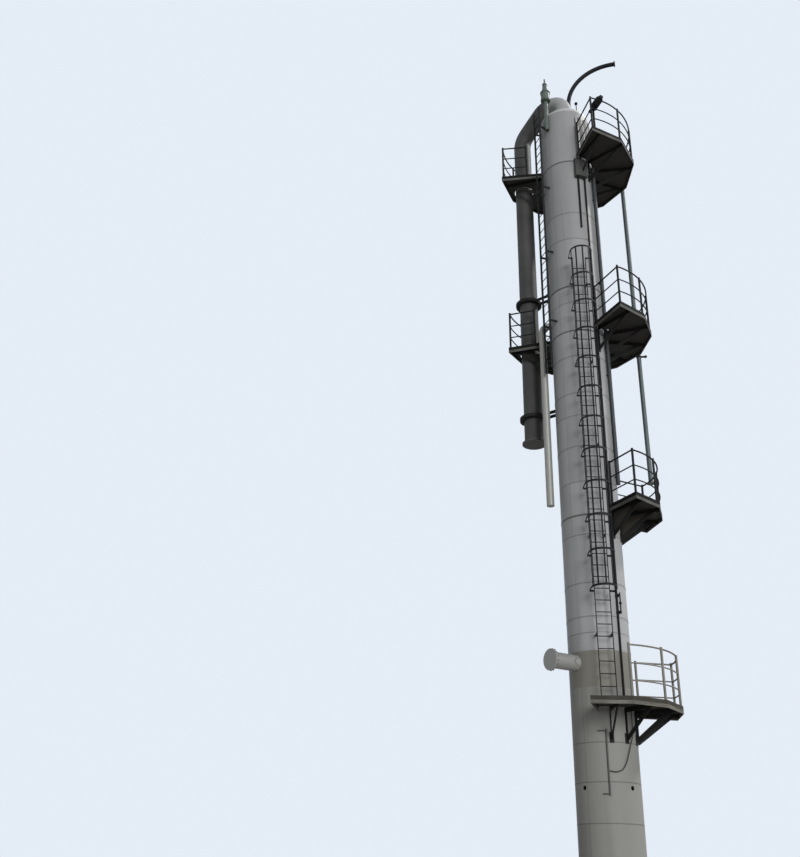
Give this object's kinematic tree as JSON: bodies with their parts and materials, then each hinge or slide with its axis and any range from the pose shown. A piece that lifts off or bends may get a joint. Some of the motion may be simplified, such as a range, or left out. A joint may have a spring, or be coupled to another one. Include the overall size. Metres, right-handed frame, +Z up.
{
  "type": "distillation column",
  "caption": "Tall insulated distillation column on a skirt, with ring platforms, handrails, caged ladder, overhead vapour line, gooseneck vent and side lines.",
  "frame": {"origin": "centre of the base ring on its underside, where the column stands on its foundation", "axes": "+Z up along the column axis; +X and +Y level; -Y is the front, the side the picture looks at"},
  "size_m": [3.8975, 3.8764, 25.7546],
  "materials": {
    "base_ring": "matte",
    "anchor_chairs": "matte",
    "skirt": "matte weathered",
    "bottom_head": "matte",
    "pressure_shell": "plain",
    "sump_cladding": "matte weathered",
    "lower_cladding": "satin weathered",
    "middle_cladding": "satin weathered",
    "upper_cladding": "satin weathered",
    "top_head": "satin weathered",
    "overhead_vapour_line": "satin weathered",
    "riser_guides": "matte",
    "gooseneck_vent": "satin",
    "relief_valve": "satin",
    "upper_deck": "matte rusted",
    "upper_edge": "matte weathered",
    "upper_brackets": "matte",
    "upper_handrail": "matte",
    "platform_lamp": "satin",
    "middle_deck": "matte rusted",
    "middle_edge": "matte weathered",
    "middle_brackets": "matte",
    "middle_handrail": "matte",
    "small_deck": "matte rusted",
    "small_edge": "matte weathered",
    "small_brackets": "matte",
    "small_handrail": "matte",
    "lower_deck": "matte rusted",
    "lower_edge": "matte weathered",
    "lower_brackets": "matte",
    "lower_handrail": "matte",
    "main_ladder": "matte",
    "ladder_cage": "matte",
    "left_ladder": "matte",
    "reflux_line": "satin",
    "side_draw_line": "satin",
    "return_nozzle": "satin",
    "right_downpipe": "matte",
    "cable_conduits": "matte",
    "skirt_conduit": "matte",
    "hanging_cable": "matte"
  },
  "bodies": {
    "root": {"base_ring": "base_ring", "anchor_chairs": "anchor_chairs", "skirt": "skirt", "bottom_head": "bottom_head", "pressure_shell": "pressure_shell", "sump_cladding": "sump_cladding", "lower_cladding": "lower_cladding", "middle_cladding": "middle_cladding", "upper_cladding": "upper_cladding", "top_head": "top_head", "overhead_vapour_line": "overhead_vapour_line", "riser_guides": "riser_guides", "gooseneck_vent": "gooseneck_vent", "relief_valve": "relief_valve", "upper_deck": "upper_deck", "upper_edge": "upper_edge", "upper_brackets": "upper_brackets", "upper_handrail": "upper_handrail", "platform_lamp": "platform_lamp", "middle_deck": "middle_deck", "middle_edge": "middle_edge", "middle_brackets": "middle_brackets", "middle_handrail": "middle_handrail", "small_deck": "small_deck", "small_edge": "small_edge", "small_brackets": "small_brackets", "small_handrail": "small_handrail", "lower_deck": "lower_deck", "lower_edge": "lower_edge", "lower_brackets": "lower_brackets", "lower_handrail": "lower_handrail", "main_ladder": "main_ladder", "ladder_cage": "ladder_cage", "left_ladder": "left_ladder", "reflux_line": "reflux_line", "side_draw_line": "side_draw_line", "return_nozzle": "return_nozzle", "right_downpipe": "right_downpipe", "cable_conduits": "cable_conduits", "skirt_conduit": "skirt_conduit", "hanging_cable": "hanging_cable"}
  },
  "joints": []
}
